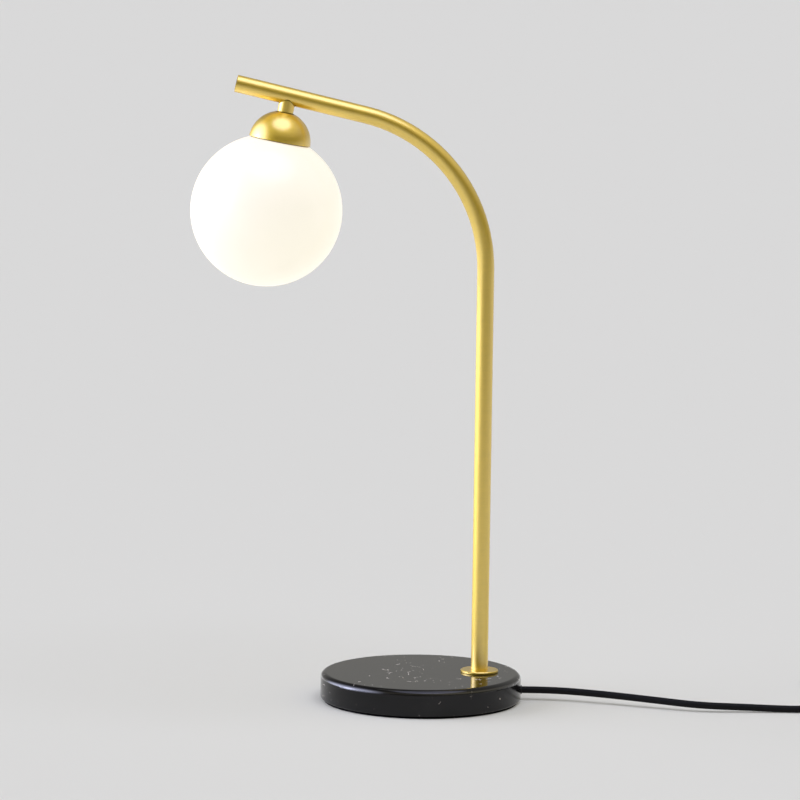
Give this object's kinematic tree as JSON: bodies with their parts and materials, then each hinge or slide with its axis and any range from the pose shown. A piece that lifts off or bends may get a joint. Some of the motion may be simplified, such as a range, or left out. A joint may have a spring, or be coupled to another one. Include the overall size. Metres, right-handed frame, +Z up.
{
  "type": "table lamp",
  "caption": "Table lamp: opal glass globe under a domed cap on a bent satin-brass tube, round polished black stone base, black cord with inline switch and plug.",
  "frame": {"origin": "centre of the base's underside, on the table", "axes": "+Z up, the stem stands at +X and the arm reaches towards -X, +Y away from the viewer"},
  "size_m": [0.6832, 0.16, 0.4971],
  "materials": {
    "stone_black": "polished",
    "pad_black": "matte",
    "brass_satin": "satin",
    "brass_plain": "turned",
    "steel_zinc": "zinc plated",
    "glass_opal": "opal, glossy",
    "silicone_clear": "matte",
    "ceramic_white": "matte",
    "bulb_frost": "frosted",
    "wire_steel": "bright",
    "wire_sheath": "smooth",
    "cord_black": "smooth",
    "moulded_black": "fine moulded grain",
    "rocker_black": "gloss",
    "tie_black": "matte",
    "pin_nickel": "bright nickel"
  },
  "bodies": {
    "lamp": {"marble_base": "stone_black", "base_pad": "pad_black", "stem_flange": "brass_satin", "foot_insert": "brass_plain", "foot_nipple": "brass_plain", "foot_washer": "steel_zinc", "foot_lock_washer": "steel_zinc", "foot_nut": "steel_zinc", "cord_bushing": "cord_black", "stem_tube": "brass_satin", "tube_end_cap": "brass_plain", "inner_cores": "wire_sheath", "head_connector": "brass_satin", "head_nipple": "brass_plain", "dome_cap": "brass_satin", "gallery_spacer": "brass_plain", "gallery_cup": "steel_zinc", "gallery_nut": "steel_zinc", "lampholder_cap": "steel_zinc", "lampholder_screws": "steel_zinc", "lampholder_body": "ceramic_white", "cord_run": "cord_black", "cord_link": "cord_black", "cord_tail": "cord_black", "cord_coil": "cord_black", "coil_tie": "tie_black", "switch_lower": "moulded_black", "switch_upper": "moulded_black", "switch_contacts": "brass_plain", "switch_screws": "steel_zinc", "plug_body": "moulded_black", "plug_pins": "pin_nickel", "plug_sleeves": "moulded_black"},
    "globe_ring": {"globe_gasket": "silicone_clear"},
    "globe": {"globe_glass": "glass_opal"},
    "bulb": {"bulb_base": "ceramic_white", "bulb_pins": "wire_steel", "bulb_cover": "bulb_frost", "bulb_post": "ceramic_white"},
    "rocker": {"switch_rocker": "rocker_black"}
  },
  "joints": [
    {"name": "globe_drop", "type": "slide", "parent": "lamp", "child": "globe_ring", "axis": [-0.1805, 0, -0.9836], "range_m": [0, 0.006]},
    {"name": "globe_turn", "type": "hinge", "parent": "globe_ring", "child": "globe", "pos_m": [-0.12137, 0, 0.4219], "axis": [-0.1805, 0, -0.9836], "range_deg": [0, 720]},
    {"name": "bulb_pull", "type": "slide", "parent": "lamp", "child": "bulb", "axis": [-0.1805, 0, -0.9836], "range_m": [0, 0.016]},
    {"name": "rocker_tip", "type": "hinge", "parent": "lamp", "child": "rocker", "pos_m": [0.362, -0.052, 0.0114], "axis": [0.1392, -0.9903, 0], "range_deg": [0, 16]}
  ],
  "couplings": [
    {"joint": "globe_drop", "follows": "globe_turn", "m_per_rad": 0.00047746}
  ]
}
